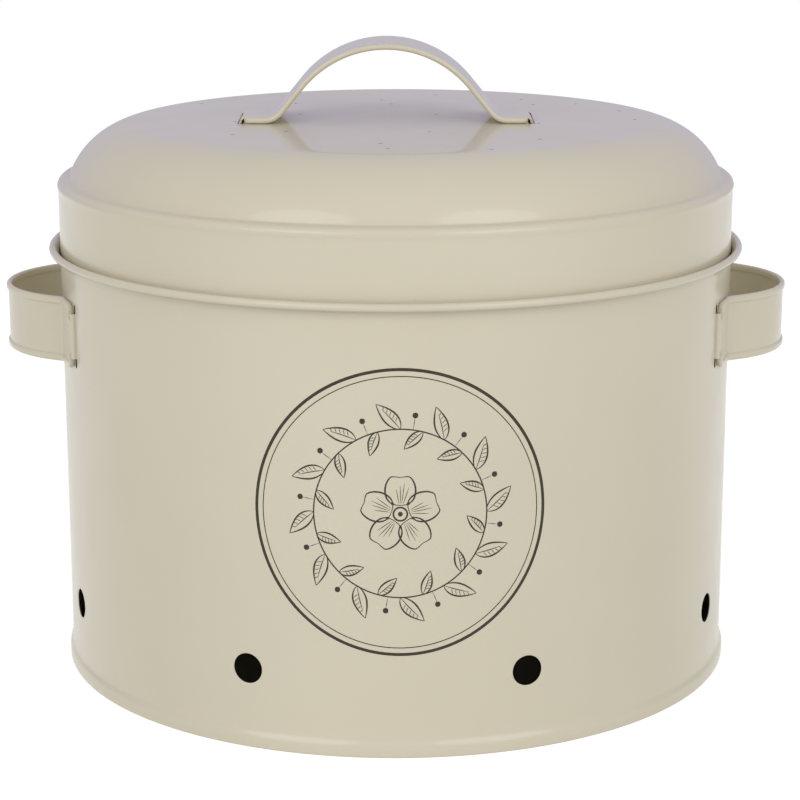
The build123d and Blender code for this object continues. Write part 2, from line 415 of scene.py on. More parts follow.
class NodeSheet:
    """The nodes of one material, with short calls to add and join them."""

    def __init__(self, name: str) -> None:
        """Start a material with a Principled shader."""
        self.material = bpy.data.materials.new(name)
        self.material.use_nodes = True
        self.tree = self.material.node_tree
        self.shader = self.tree.nodes["Principled BSDF"]
        self.places = self.add("ShaderNodeTexCoord").outputs["Object"]

    def fill(self, node: bpy.types.Node, **values: float | Colour) -> bpy.types.Node:
        """Set inputs of a node, named with underscores for spaces, and give it back."""
        for name, value in values.items():
            node.inputs[name.replace("_", " ")].default_value = value
        return node

    def add(self, kind: str, **values: float | Colour) -> bpy.types.Node:
        """Add a node and set some of its inputs."""
        return self.fill(self.tree.nodes.new(kind), **values)

    def join(self, output: Socket, target: Socket) -> None:
        """Link an output to an input."""
        self.tree.links.new(output, target)

    def noise(self, scale: float, detail: float = 2.0, roughness: float = 0.5,
              stretch: Sequence[float] = (1.0, 1.0, 1.0)) -> Socket:
        """Add noise in the piece's own space.

        Args:
            scale: Features per metre.
            detail: Finer layers on top.
            roughness: How strong those layers are.
            stretch: Factors along the three axes.

        Returns:
            The noise value, around 0.5.
        """
        mapping = self.add("ShaderNodeMapping", Scale=stretch)
        self.join(self.places, mapping.inputs["Vector"])
        noise = self.add("ShaderNodeTexNoise", Scale=scale, Detail=detail, Roughness=roughness)
        self.join(mapping.outputs["Vector"], noise.inputs["Vector"])
        return noise.outputs["Fac"]

    def span(self, value: Socket, low: float, high: float, start: float = 0.3,
             end: float = 0.7) -> Socket:
        """Stretch a value that runs from start to end onto low to high."""
        node = self.add("ShaderNodeMapRange", From_Min=start, From_Max=end, To_Min=low, To_Max=high)
        self.join(value, node.inputs["Value"])
        return node.outputs["Result"]

    def reckon(self, operation: str, first: Socket, second: Socket | float) -> Socket:
        """Work out one step of arithmetic.

        Args:
            operation: Blender's name for it.
            first: Its first value.
            second: Its second value, or a plain number.

        Returns:
            The result.
        """
        node = self.tree.nodes.new("ShaderNodeMath")
        node.operation = operation
        self.join(first, node.inputs[0])
        if isinstance(second, float):
            node.inputs[1].default_value = second
        else:
            self.join(second, node.inputs[1])
        return node.outputs["Value"]

    def blend(self, share: Socket, first: Colour | Socket, second: Colour) -> Socket:
        """Mix two colours.

        Args:
            share: 0 for the first colour and 1 for the second.
            first: The first colour, or a socket that gives it.
            second: The second colour.

        Returns:
            The mixed colour.
        """
        node = self.tree.nodes.new("ShaderNodeMix")
        node.data_type = "RGBA"
        colours = [socket for socket in node.inputs if socket.type == "RGBA"]
        colours[1].default_value = second
        if isinstance(first, Socket):
            self.join(first, colours[0])
        else:
            colours[0].default_value = first
        self.join(share, node.inputs["Factor"])
        return next(socket for socket in node.outputs if socket.type == "RGBA")

    def bump(self, height: Socket, depth: float, under: Socket | None = None) -> Socket:
        """Add relief to the surface.

        Args:
            height: The relief from 0 to 1.
            depth: Metres that it stands for.
            under: Another relief that this one adds to.

        Returns:
            The bent normal.
        """
        node = self.add("ShaderNodeBump", Strength=1.0, Distance=depth)
        self.join(height, node.inputs["Height"])
        if under is not None:
            self.join(under, node.inputs["Normal"])
        return node.outputs["Normal"]

    def dress(self, tone: Socket, gloss: Socket, relief: Socket,
              **values: float) -> bpy.types.Material:
        """Finish the shader.

        Args:
            tone: Its colour.
            gloss: Its roughness.
            relief: Its normal.
            values: Inputs that are the same all over.

        Returns:
            The material.
        """
        for name, socket in (("Base Color", tone), ("Roughness", gloss), ("Normal", relief)):
            self.join(socket, self.shader.inputs[name])
        self.fill(self.shader, **values)
        return self.material


@dataclass(frozen=True)
class PowderCoat:
    """Glossy cream powder coat on steel sheet."""

    light: Colour = (0.678, 0.625, 0.487, 1.0)
    deep: Colour = (0.650, 0.597, 0.461, 1.0)
    tone_noise: Noise = (9.0, 3.0)
    gloss: tuple[float, float] = (0.30, 0.40)       # roughness, from glossy to satin places
    gloss_noise: Noise = (38.0, 4.0, 0.6)
    ior: float = 1.5
    specular: float = 0.26                          # of the paint under its clear gloss
    coat: float = 0.42
    coat_roughness: float = 0.06
    peel_noise: Noise = (620.0, 1.5, 0.4)           # ripples of the coat
    peel_depth: float = 0.0000012                   # metres
    wave_noise: Noise = (11.0, 1.0, 0.4, (1.0, 1.0, 0.45))      # slow waves of the sheet
    wave_depth: float = 0.00009
    speck: Colour = (0.10, 0.055, 0.03, 1.0)
    speck_cells: float = 52.0                       # per metre
    speck_edge: tuple[float, float] = (0.034, 0.050)            # in cells
    speck_pick: tuple[float, float] = (0.66, 0.67)  # cells picked above this hold a grain
    speck_fade: float = 0.0002

    def material(self, name: str, speck_height: float | None = None) -> bpy.types.Material:
        """Build the finish.

        Args:
            name: Name of the material.
            speck_height: Height in metres above which grit shows in the coat, or none.

        Returns:
            The material.
        """
        nodes = NodeSheet(name)
        tone = nodes.blend(nodes.span(nodes.noise(*self.tone_noise), 0.0, 1.0),
                           self.light, self.deep)
        if speck_height is not None:
            tone = nodes.blend(self._specks(nodes, speck_height), tone, self.speck)
        waves = nodes.bump(nodes.noise(*self.wave_noise), self.wave_depth)
        return nodes.dress(
            tone, nodes.span(nodes.noise(*self.gloss_noise), *self.gloss),
            nodes.bump(nodes.noise(*self.peel_noise), self.peel_depth, waves),
            IOR=self.ior, Specular_IOR_Level=self.specular, Coat_Weight=self.coat,
            Coat_Roughness=self.coat_roughness, Coat_IOR=self.ior)

    def _specks(self, nodes: NodeSheet, height: float) -> Socket:
        """Scatter a few grains of grit over the upward faces above a height.

        Args:
            nodes: The material's nodes.
            height: Lowest place of the grit, in metres.

        Returns:
            1 on a grain and 0 beside it.
        """
        cells = nodes.add("ShaderNodeTexVoronoi", Scale=self.speck_cells, Randomness=1.0)
        cells.voronoi_dimensions = "2D"
        nodes.join(nodes.places, cells.inputs["Vector"])
        picked = nodes.add("ShaderNodeSeparateColor")
        nodes.join(cells.outputs["Color"], picked.inputs["Color"])
        axes = nodes.add("ShaderNodeSeparateXYZ")
        nodes.join(nodes.places, axes.inputs["Vector"])
        grain = nodes.span(cells.outputs["Distance"], 1.0, 0.0, *self.speck_edge)
        rare = nodes.span(picked.outputs["Red"], 0.0, 1.0, *self.speck_pick)
        above = nodes.span(axes.outputs["Z"], 0.0, 1.0, height, height + self.speck_fade)
        return nodes.reckon("MULTIPLY", nodes.reckon("MULTIPLY", grain, rare), above)


@dataclass(frozen=True)
class PlainFinish:
    """A finish of two tones with fine relief."""

    tones: tuple[Colour, Colour]
    tone_noise: Noise
    gloss: tuple[float, float]                      # roughness, from glossy to dull places
    gloss_noise: Noise
    relief_noise: Noise
    relief_depth: float                             # metres
    values: dict[str, float]                        # shader inputs that are the same all over

    def material(self, name: str) -> bpy.types.Material:
        """Build the finish under this name."""
        nodes = NodeSheet(name)
        return nodes.dress(
            nodes.blend(nodes.span(nodes.noise(*self.tone_noise), 0.0, 1.0), *self.tones),
            nodes.span(nodes.noise(*self.gloss_noise), *self.gloss),
            nodes.bump(nodes.noise(*self.relief_noise), self.relief_depth), **self.values)


# Sheared steel where the coat is thin, a little rusted.
CUT_EDGE = PlainFinish(((0.085, 0.055, 0.030, 1.0), (0.160, 0.078, 0.026, 1.0)), (900.0, 3.0),
                       (0.5, 0.75), (1500.0,), (2500.0,), 0.00002, {"Metallic": 0.4})
# Dark brown screen ink, printed and baked on the coat.
SCREEN_INK = PlainFinish(((0.024, 0.018, 0.008, 1.0), (0.036, 0.028, 0.014, 1.0)), (260.0, 4.0),
                         (0.38, 0.52), (700.0,), (1800.0,), 0.000002, {"IOR": 1.45})
# Drawn steel wire, grey and finely scored along its length.
WIRE_SCORES = (300.0, 4.0, 0.6, (1.0, 1.0, 9.0))
DRAWN_WIRE = PlainFinish(((0.33, 0.32, 0.31, 1.0), (0.46, 0.46, 0.47, 1.0)), WIRE_SCORES,
                         (0.34, 0.5), WIRE_SCORES, WIRE_SCORES, 0.00001, {"Metallic": 1.0})


@dataclass(frozen=True)
class Finishes:
    """The finished materials that the pieces share."""

    coat: bpy.types.Material
    lid_coat: bpy.types.Material
    cut: bpy.types.Material
    ink: bpy.types.Material
    wire: bpy.types.Material


# ---- the strap handles -------------------------------------------------------------------
@dataclass
class StrapHandle:
    """A hemmed steel strap: an arch on two legs, with a foot and a folded tab at each end."""

    width: float
    arch_radius: float              # outer face of the arch
    reach: float                    # sheet that it stands on to the top of the arch
    leg: float                      # straight stretch between the arch and the bend at its foot
    foot: float                     # that bend to the slot
    surface: float | None = None    # radius of that sheet, or none where it is flat
    carrier_sheet: float = 0.4
    sheet: float = 0.8
    hem_width: float = 3.1
    hem_thick: float = 2.2
    hem_drop: float = 0.0           # the hems' middle lies this much under the strap's own sheet
    turn_radius: float = 4.2        # bend between a leg and its foot
    corner: float = 3.0
    gap: float = 0.1                # between the strap and the sheet under it
    tab_inset: float = 4.0          # the tab is this much narrower than the strap, per side
    tab_length: float = 8.0
    slot_end_room: float = 3.6
    slot_side_room: float = 0.7
    rings: list[tuple[Sample, float, bool]] = field(default_factory=list)
    slot: Sample = Sample(0.0, 0.0, 0.0)

    CORNER_TURNS = (15.0, 30.0, 45.0, 60.0, 75.0, 90.0)
    HEM_TURNS = (90.0, 75.0, 60.0, 45.0, 30.0, 15.0, 0.0)
    HEM_SHARES = (0.0, 0.2, 0.4, 0.6, 0.8, 1.0)
    WEB_SHARES = (0.0, 0.5, 0.85)

    def __post_init__(self) -> None:
        """Follow the strap from the middle of its arch to the end of one tab."""
        face = self.hem_thick / 2 - self.hem_drop
        foot_height = self.gap + self.hem_thick / 2 + self.hem_drop
        tab_depth = self.carrier_sheet + self.gap + self.sheet / 2
        step_radius = (foot_height + tab_depth) / 2
        arch = self.arch_radius - face
        lean, back = self._lean(arch, foot_height)
        path = SheetPath(0.0, self.reach - face, 180.0)
        path.bend(arch, lean).run(self.leg, steps=4).bend(self.turn_radius, -back)
        straight = self.foot - self.corner
        rounding = [math.radians(angle) for angle in self.CORNER_TURNS]
        stops = [math.sin(angle) for angle in rounding]
        tab_swing = 0.0
        if self.surface is None:
            start = path.run(straight, steps=4).end
            path.samples += [Sample(start.x - self.corner * stop, start.y, start.heading)
                             for stop in stops]
        else:
            foot_radius = self.surface + foot_height
            path.bend(foot_radius, math.degrees(straight / foot_radius))
            path.bend(foot_radius, math.degrees(self.corner / foot_radius), stops)
            tab_swing = math.degrees(2 * step_radius / self.surface)
        half = self.width / 2
        widths = [half] * (len(path.samples) - len(stops))
        widths += [half - self.corner * (1 - math.cos(angle)) for angle in rounding]
        self.rings = [(sample, width, False) for sample, width in zip(path.samples, widths)]
        tab = SheetPath(path.end.x, path.end.y, path.end.heading)
        tab.bend(step_radius, 90.0 + tab_swing)
        sunk = foot_height - step_radius + self.carrier_sheet / 2
        crossing = math.degrees(math.asin(sunk / step_radius))
        self.slot = tab.bend(step_radius, -crossing).end
        tab.bend(step_radius, crossing - 90.0)
        if self.surface is None:
            tab.run(self.tab_length, steps=4)
        else:
            tab_radius = self.surface - tab_depth
            tab.bend(tab_radius, math.degrees(self.tab_length / tab_radius))
        self.rings += [(sample, self.tab_width / 2, True) for sample in tab.samples]

    @property
    def tab_width(self) -> float:
        """Give the width of a tab."""
        return self.width - 2 * self.tab_inset

    @property
    def slot_radius(self) -> float:
        """Give the radius of the slot's round ends."""
        return self.sheet / 2 + self.slot_side_room

    @property
    def slot_spine(self) -> float:
        """Give the way from the slot's middle to the centre of a round end."""
        return self.tab_width / 2 + self.slot_end_room - self.slot_radius

    def _lean(self, arch: float, foot_height: float) -> Point:
        """Find how far the arch turns, and how far the bend at its foot turns back.

        Args:
            arch: Radius of the arch's middle line.
            foot_height: Carrying sheet to the foot's middle line.

        Returns:
            Both angles in degrees.
        """
        centre = self.reach - self.arch_radius
        near = math.hypot(arch + self.turn_radius, self.leg)
        leg_swing = math.degrees(math.atan2(self.leg, arch + self.turn_radius))
        rise = foot_height + self.turn_radius
        if self.surface is None:
            lean = math.degrees(math.acos((rise - centre) / near)) - leg_swing
            return lean, lean
        far, span = self.surface + rise, self.surface + centre
        up = (far ** 2 - near ** 2 + span ** 2) / (2 * span)
        along = math.sqrt(far ** 2 - up ** 2)
        lean = math.degrees(math.atan2(along, up - span)) - leg_swing
        return lean, lean - math.degrees(math.atan2(along, up))

    def _face(self, half_width: float, drop: float) -> list[Point]:
        """Draw one face of the strap cut across, from its middle to its edge.

        Args:
            half_width: Half of the strap's width there.
            drop: How far the hem's middle lies under the sheet's, seen from this face.

        Returns:
            Points as width and height over the sheet's middle.
        """
        bead, flat = self.hem_thick / 2, self.sheet / 2
        inner, outer = half_width - self.hem_width + bead, half_width - bead
        start = 180.0 - math.degrees(math.asin(min((flat + drop) / bead, 1.0)))
        flush = bead if start < 91.0 else 0.0       # spreads the points of a hem that is flush
        points = [(inner * share, flat) for share in self.WEB_SHARES]
        points += [polar(bead, start + (90.0 - start) * share,
                         (inner - flush * (1.0 - share), -drop)) for share in self.HEM_SHARES]
        return points + [polar(bead, turn, (outer, -drop)) for turn in self.HEM_TURNS]

    def _section(self, half_width: float, is_tab: bool) -> list[Point]:
        """Draw the strap cut across, always with the same number of points.

        Args:
            half_width: Half of the strap's width there.
            is_tab: Whether it is the plain tab rather than the hemmed strap.

        Returns:
            Points round the section, as width and thickness.
        """
        drop = 0.0 if is_tab else self.hem_drop
        outside, inside = self._face(half_width, drop), self._face(half_width, -drop)
        if is_tab:
            outside = inside = [(across, min(up, self.sheet / 2)) for across, up in outside]
        right = outside + [(across, -up) for across, up in reversed(inside[:-1])]
        return right + [(-across, up) for across, up in reversed(right[1:-1])]

    def make(self, name: str, place: Matrix, finishes: Finishes) -> bpy.types.Object:
        """Build the strap.

        Args:
            name: Name of the piece.
            place: From the strap's frame, X along it and Y out, to the bin's.
            finishes: The materials.

        Returns:
            The piece.
        """
        draft = MeshDraft(name)
        other = [(sample.mirrored(), width, tab) for sample, width, tab in self.rings[:0:-1]]
        draft.bar([draft.ring([place @ Vector((*sample.beside(-out), across))
                               for across, out in self._section(width, tab)])
                   for sample, width, tab in other + self.rings])
        return draft.make((finishes.coat,))


# ---- the bin -----------------------------------------------------------------------------
@dataclass
class BinBody:
    """The bin's own sheets: the rolled wall with its foot and rim, and the base."""

    diameter: float = 270.0
    height: float = 171.0
    sheet: float = 0.4
    fold_gap: float = 0.1
    flare_lean: float = 40.0        # degrees that the wall leans out under the rim
    flare_bend: float = 9.0
    bead_diameter: float = 3.0
    curl: float = 285.0
    base_recess: float = 4.0
    base_corner: float = 1.5
    handle_drop: float = 30.3       # rim to the middle of the side handles
    seam_height: float = 7.6        # the folded foot of the wall
    seam_proud: float = 1.3
    seam_ease: float = 4.2          # height over which the wall steps out to it
    seam_corner: float = 0.5
    side_seam_width: float = 6.0
    side_seam_proud: float = 0.45
    side_seam_taper: float = 0.25   # height over which its two ends thin out
    vents: int = 8
    vent_diameter: float = 11.6
    vent_height: float = 30.6
    vent_turn: float = -1.4
    vent_block: float = 10.0        # half of the block of cells that holds a vent
    slot_block: float = 16.0        # the same for a handle's slot
    slot_block_reach: float = 5.0   # and its half along the wall

    @property
    def radius(self) -> float:
        """Give the radius of the wall's outer face."""
        return self.diameter / 2

    @property
    def layer(self) -> float:
        """Give the step from one folded layer to the next."""
        return self.sheet + self.fold_gap

    @property
    def wall(self) -> float:
        """Give the radius of the wall's middle line."""
        return (self.diameter - self.sheet) / 2

    @property
    def curl_radius(self) -> float:
        """Give the radius of the curled sheet's middle line."""
        return (self.bead_diameter - self.sheet) / 2

    @property
    def flare_start(self) -> float:
        """Give the height at which the wall starts to lean out."""
        bead = self.height - self.bead_diameter / 2
        return bead - (self.flare_bend - self.curl_radius) * math.sin(math.radians(self.flare_lean))

    @property
    def seam_radius(self) -> float:
        """Give the radius of the wall's middle line at the foot."""
        return self.wall + self.seam_proud

    @property
    def seam_shoulder(self) -> float:
        """Give the height at which the wall starts to step in from the foot."""
        return self.seam_height - self.seam_ease

    @property
    def base_middle(self) -> float:
        """Give the height of the base's middle line."""
        return self.base_recess + self.sheet / 2

    def _foot_path(self) -> SheetPath:
        """Follow the wall from its hook round the base's edge to just above the foot."""
        hook_end = self.base_middle - self.base_corner - self.fold_gap
        path = SheetPath(self.seam_radius - 3 * self.layer, hook_end, -90.0)
        path.run(hook_end - self.sheet / 2 - self.seam_corner).bend(self.seam_corner, 90.0)
        path.run(3 * self.layer - 2 * self.seam_corner).bend(self.seam_corner, 90.0)
        path.run(self.seam_shoulder - path.end.y)
        lean = 2 * math.atan2(self.seam_proud, self.seam_ease)
        bend = self.seam_ease / (2 * math.sin(lean))
        return path.bend(bend, math.degrees(lean)).bend(bend, -math.degrees(lean))

    def build_wall(self, finishes: Finishes, handle: StrapHandle, handle_height: float) -> None:
        """Build the wall with its vents and the slots of both side handles.

        Args:
            finishes: The materials.
            handle: A side handle, for its slots.
            handle_height: Height of the middle of the side handles.
        """
        path = self._foot_path()
        path.run(self.vent_height - self.vent_block - path.end.y, steps=3)
        vent_first = path.last
        vent_last = path.run(2 * self.vent_block, steps=10).last
        path.run(handle_height - self.slot_block - path.end.y, steps=8)
        slot_first = path.last
        slot_last = path.run(2 * self.slot_block, steps=18).last
        path.run(self.flare_start - path.end.y)
        path.bend(self.flare_bend, -self.flare_lean).bend(self.curl_radius, -self.curl)

        draft = MeshDraft("bin_wall")
        front = -90.0 + self.vent_turn + 180.0 / self.vents
        shell = TurnedSheet(draft, path, self.sheet, front)
        face = RoundWall(self.radius)
        for number in range(self.vents):
            turn = front + 360.0 * number / self.vents
            turn -= 360.0 if turn > 180.0 else 0.0
            centre = (math.radians(turn) * self.radius, self.vent_height)
            shell.cut(Opening(centre, self.vent_diameter / 2), face, (vent_first, vent_last),
                      turn, math.degrees(self.vent_block / self.radius))
        swing = math.degrees(math.atan2(-handle.slot.x, handle.slot.y + self.radius))
        for turn in (swing, -swing, 180.0 - swing, swing - 180.0):
            centre = (math.radians(turn) * self.radius, handle_height)
            shell.cut(Opening(centre, handle.slot_radius, (0.0, handle.slot_spine)), face,
                      (slot_first, slot_last), turn,
                      math.degrees(self.slot_block_reach / self.radius))
        shell.close()
        piece = draft.make((finishes.coat, finishes.cut))
        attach(piece, "bin")
        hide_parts("body_wall")
        LOG.info("wall: %d vents, handle slots at %.1f degrees from the sides", self.vents, swing)

    def build_side_seam(self, finishes: Finishes) -> None:
        """Build the pressed lock seam that closes the wall at the back."""
        draft = MeshDraft("bin_side_seam")
        proud, half, sink = self.side_seam_proud, self.side_seam_width / 2, self.sheet / 2
        left = [(-half, -sink), (-half, proud * 0.45), (-half + 0.12, proud * 0.8),
                (-half + 0.4, proud), (-half / 2, proud)]
        section = left + [(0.0, proud)] + [(-across, out) for across, out in reversed(left)]
        section += [(half / 2, -sink), (0.0, -sink), (-half / 2, -sink)]
        low, high = self.seam_height + self.fold_gap, self.flare_start
        taper = self.side_seam_taper
        face = RoundWall(self.radius)
        back = math.radians(90.0) * self.radius
        draft.bar([draft.ring([
            face.lift((back + across * (1 - shrink * 0.1), height), shrink * max(out, 0.0) - out)
            for across, out in section])
            for height, shrink in ((low, taper), (low + taper, 0.0), (high - taper, 0.0),
                                   (high, taper))])
        piece = draft.make((finishes.coat,), sharp=60.0)
        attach(piece, "bin")
        LOG.info("side seam: %.0f mm wide at the back", self.side_seam_width)

    def build_base(self, finishes: Finishes) -> None:
        """Build the recessed base, whose hemmed edge the foot of the wall holds."""
        path = SheetPath(0.0, self.base_middle, 0.0)
        edge = self.seam_radius - 2 * self.layer
        path.run(edge - self.base_corner, steps=8).bend(self.base_corner, -90.0)
        hem_centre = self.sheet * 1.5 + self.fold_gap + self.layer / 2
        path.run(path.end.y - hem_centre).bend(self.layer / 2, 180.0)
        path.run(self.seam_shoulder - self.fold_gap - path.end.y)
        draft = MeshDraft("bin_base")
        TurnedSheet(draft, path, self.sheet, 0.0).close()
        piece = draft.make((finishes.coat,))
        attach(piece, "bin")
        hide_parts("base_panel")
        LOG.info("base: recessed by %.0f mm", self.base_recess)

    def dress_wire(self, nodes: dict[str, bpy.types.Object], finishes: Finishes) -> None:
        """Give the wire inside the rim its finish; its own shape is right.

        Args:
            nodes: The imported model's objects by name.
            finishes: The materials.
        """
        mesh = nodes["rim_wire"].data
        mesh.materials.clear()
        mesh.materials.append(finishes.wire)
        LOG.info("rim wire: packed shape, drawn steel")


class Side(Enum):
    """The sides of the bin that carry a handle, and the way to them along X."""

    LEFT = -1
    RIGHT = 1


@dataclass
class SideHandle:
    """One of the two strap handles on the wall."""

    side: Side
    strap: StrapHandle
    wall_radius: float
    height: float

    def build(self, finishes: Finishes) -> None:
        """Build the handle with its tabs through the wall."""
        way = self.side.value
        place = Matrix(((0.0, way, 0.0, way * self.wall_radius),
                        (-way, 0.0, 0.0, 0.0),
                        (0.0, 0.0, 1.0, self.height),
                        (0.0, 0.0, 0.0, 1.0)))
        label = self.side.name.lower()
        piece = self.strap.make(f"side_strap_{label}", place, finishes)
        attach(piece, "bin")
        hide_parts(f"side_handle_{label}")
        LOG.info("%s side handle: %.0f mm wide strap", label, self.strap.width)


# ---- the lid -----------------------------------------------------------------------------
@dataclass
class Lid:
    """The lid: one drawn sheet with a hemmed skirt, a ledge and a round shoulder."""

    body: BinBody
    strap: StrapHandle
    sheet: float = 0.4
    skirt_lap: float = 0.4
    skirt_height: float = 24.2
    hem_height: float = 5.0
    seat_gap: float = 0.3
    bead_lean: float = 14.0
    bead_run: float = 0.6
    bead_ease: float = 4.0
    ledge_corner: float = 2.4
    ledge_rise: float = 6.0
    ledge_width: float = 1.8
    ledge_hollow: float = 1.0
    shoulder_angle: float = 70.0
    shoulder_radius: float = 31.6
    handle_shift: float = -3.7
    grit_height: float = 218.5      # grit shows above it, which is on the flat top only
    slot_block: float = 9.0         # half of the ring of cells that holds a slot
    slot_margin: float = 7.0        # cells past the slot's round ends

    def _skirt_path(self) -> SheetPath:
        """Follow the sheet from the end of its hem to the edge of the flat top."""
        hem_radius = self.body.layer / 2
        hem_face = hem_radius + self.sheet / 2
        outside = self.body.radius - self.sheet + self.skirt_lap
        bend = self.body.flare_bend
        across = (self.body.wall + bend) - (outside - hem_face)
        apart = bend + self.sheet / 2 + self.seat_gap + hem_face
        hem_centre = self.body.flare_start + math.sqrt(apart ** 2 - across ** 2)
        path = SheetPath(outside - hem_face - hem_radius, hem_centre + self.hem_height, -90.0)
        path.run(self.hem_height, steps=2).bend(hem_radius, 180.0)
        path.run(self.skirt_height, steps=8)
        path.bend(self.bead_ease, -self.bead_lean).run(self.bead_run)
        path.bend(self.ledge_corner, 90.0 + self.bead_lean - self.ledge_rise).run(self.ledge_width)
        path.bend(self.ledge_hollow, -(self.shoulder_angle - self.ledge_rise))
        return path.bend(self.shoulder_radius, self.shoulder_angle)

    def build_shell(self, finishes: Finishes) -> float:
        """Build the lid's sheet with the two slots of its handle.

        Args:
            finishes: The materials.

        Returns:
            Height of the flat top.
        """
        path = self._skirt_path()
        flat_edge, middle = path.end.x, path.end.y
        top = middle + self.sheet / 2
        slot_reach = -self.strap.slot.x
        block = self.slot_block + abs(self.handle_shift)
        path.run(flat_edge - (slot_reach + block), steps=6)
        first = path.last
        last = path.run(2 * block, steps=12).last
        path.run(slot_reach - block, steps=5)
        path.samples[-1] = Sample(0.0, middle, path.end.heading)
        draft = MeshDraft("lid_sheet")
        shell = TurnedSheet(draft, path, self.sheet, 0.0)
        spine = self.strap.slot_spine
        for way, turn in ((-1.0, 180.0), (1.0, 0.0)):
            centre = self.handle_shift + way * slot_reach
            shell.cut(Opening((centre, 0.0), self.strap.slot_radius, (0.0, spine)), FlatTop(top),
                      (first, last), turn, math.degrees((spine + self.slot_margin) / abs(centre)))
        shell.close()
        piece = draft.make((finishes.lid_coat, finishes.cut))
        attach(piece, "lid")
        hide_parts("lid_shell")
        LOG.info("lid: flat top at %.2f mm, %.1f mm in radius", top, flat_edge)
        return top

    def build_handle(self, finishes: Finishes, top: float) -> None:
        """Build the strap handle on the lid.

        Args:
            finishes: The materials.
            top: Height of the flat top.
        """
        place = Matrix(((1.0, 0.0, 0.0, self.handle_shift),
                        (0.0, 0.0, -1.0, 0.0),
                        (0.0, 1.0, 0.0, top),
                        (0.0, 0.0, 0.0, 1.0)))
        piece = self.strap.make("lid_strap", place, finishes)
        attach(piece, "lid")
        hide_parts("lid_handle")
        LOG.info("lid handle: %.0f mm wide strap", self.strap.width)


